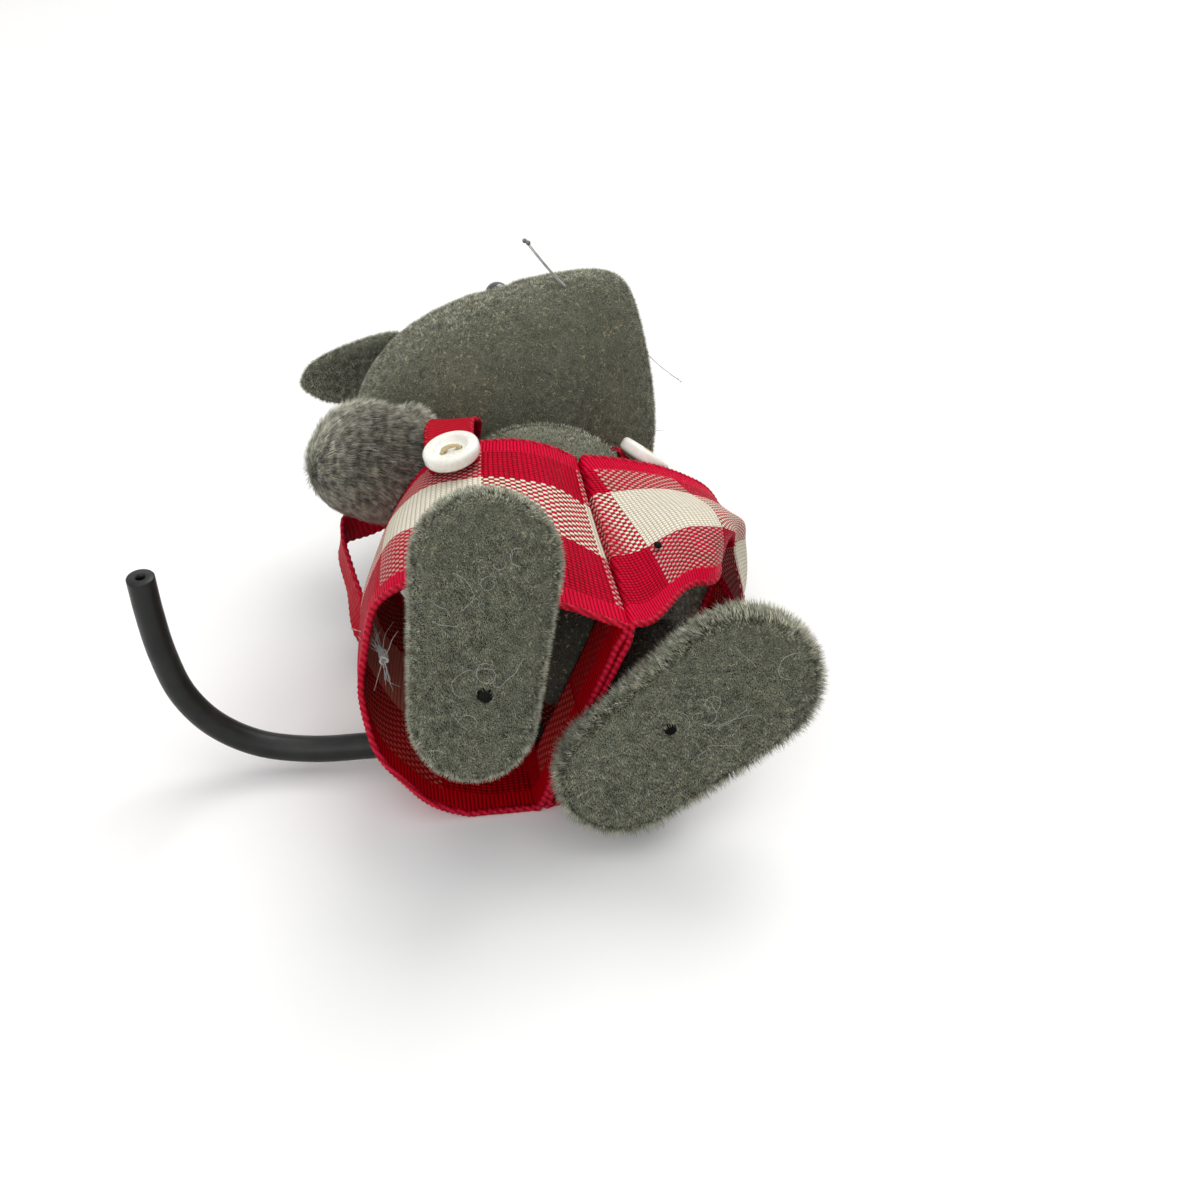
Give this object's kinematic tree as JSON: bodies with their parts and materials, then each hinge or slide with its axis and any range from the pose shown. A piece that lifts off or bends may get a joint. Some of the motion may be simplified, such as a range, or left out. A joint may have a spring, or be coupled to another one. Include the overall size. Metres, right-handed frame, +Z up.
{
  "type": "toy mouse figure",
  "caption": "Flocked toy mouse in gingham ribbon dungarees, lying on its back, with turning head, arms and legs and a bent rubber tail.",
  "frame": {"origin": "middle of the bounding box, on the table that the figure lies on", "axes": "+Z up from the table, +Y from the soles towards the head, +X towards the mouse's left side"},
  "size_m": [0.066, 0.079, 0.041],
  "materials": {
    "flock": "dark olive-grey flock, soft and matt",
    "bead": "gloss black bead",
    "rubber": "dark grey rubber tube, satin",
    "gingham": "red and cream woven gingham ribbon",
    "ribbon": "red picot-edged ribbon",
    "shell": "cream-white pearly button",
    "thread": "gold-cream sewing thread",
    "peg": "dark matt pin",
    "bristle": "translucent bristle with a ball end"
  },
  "bodies": {
    "body": {"torso": "flock", "neck_peg": "peg", "tail_peg": "peg", "shoulder_pin_right": "peg", "hip_pin_right": "peg", "trouser_right": "gingham", "strap_right": "ribbon", "button_right": "shell", "button_thread_right": "thread", "shoulder_pin_left": "peg", "hip_pin_left": "peg", "trouser_left": "gingham", "strap_left": "ribbon", "button_left": "shell", "button_thread_left": "thread"},
    "head": {"head": "flock", "eye_right": "bead", "ear_right": "flock", "whisker_right_upper": "bristle", "whisker_right_lower": "bristle", "eye_left": "bead", "ear_left": "flock", "whisker_left_upper": "bristle", "whisker_left_lower": "bristle", "nose_bead": "bead"},
    "arm_right": {"arm_right": "flock"},
    "arm_left": {"arm_left": "flock"},
    "leg_right": {"leg_right": "flock", "foot_right": "flock", "sole_pin_right": "peg"},
    "leg_left": {"leg_left": "flock", "foot_left": "flock", "sole_pin_left": "peg"},
    "tail": {"tail": "rubber"}
  },
  "joints": [
    {"name": "head_turn", "type": "hinge", "parent": "body", "child": "head", "pos_m": [0.00504, 0.00919, 0.01794], "axis": [-0.1903, 0.9792, 0.0698], "range_deg": [-18, 12]},
    {"name": "arm_right_turn", "type": "hinge", "parent": "body", "child": "arm_right", "pos_m": [-0.00414, 0.00051, 0.02093], "axis": [0.9179, 0.2027, -0.3412], "range_deg": [-15, 40]},
    {"name": "arm_left_turn", "type": "hinge", "parent": "body", "child": "arm_left", "pos_m": [0.01642, 0.00505, 0.01329], "axis": [0.9179, 0.2027, -0.3412], "range_deg": [-5, 60]},
    {"name": "leg_right_turn", "type": "hinge", "parent": "body", "child": "leg_right", "pos_m": [0.00109, -0.01844, 0.0173], "axis": [0.0223, -0.927, 0.3744], "range_deg": [-15, 60]},
    {"name": "leg_left_turn", "type": "hinge", "parent": "body", "child": "leg_left", "pos_m": [0.01671, -0.01479, 0.00872], "axis": [-0.1029, 0.9746, -0.1992], "range_deg": [-15, 45]},
    {"name": "tail_turn", "type": "hinge", "parent": "body", "child": "tail", "pos_m": [0.00377, -0.02151, 0.0046], "axis": [-0.9952, -0.0527, -0.082], "range_deg": [-75, 75]}
  ]
}
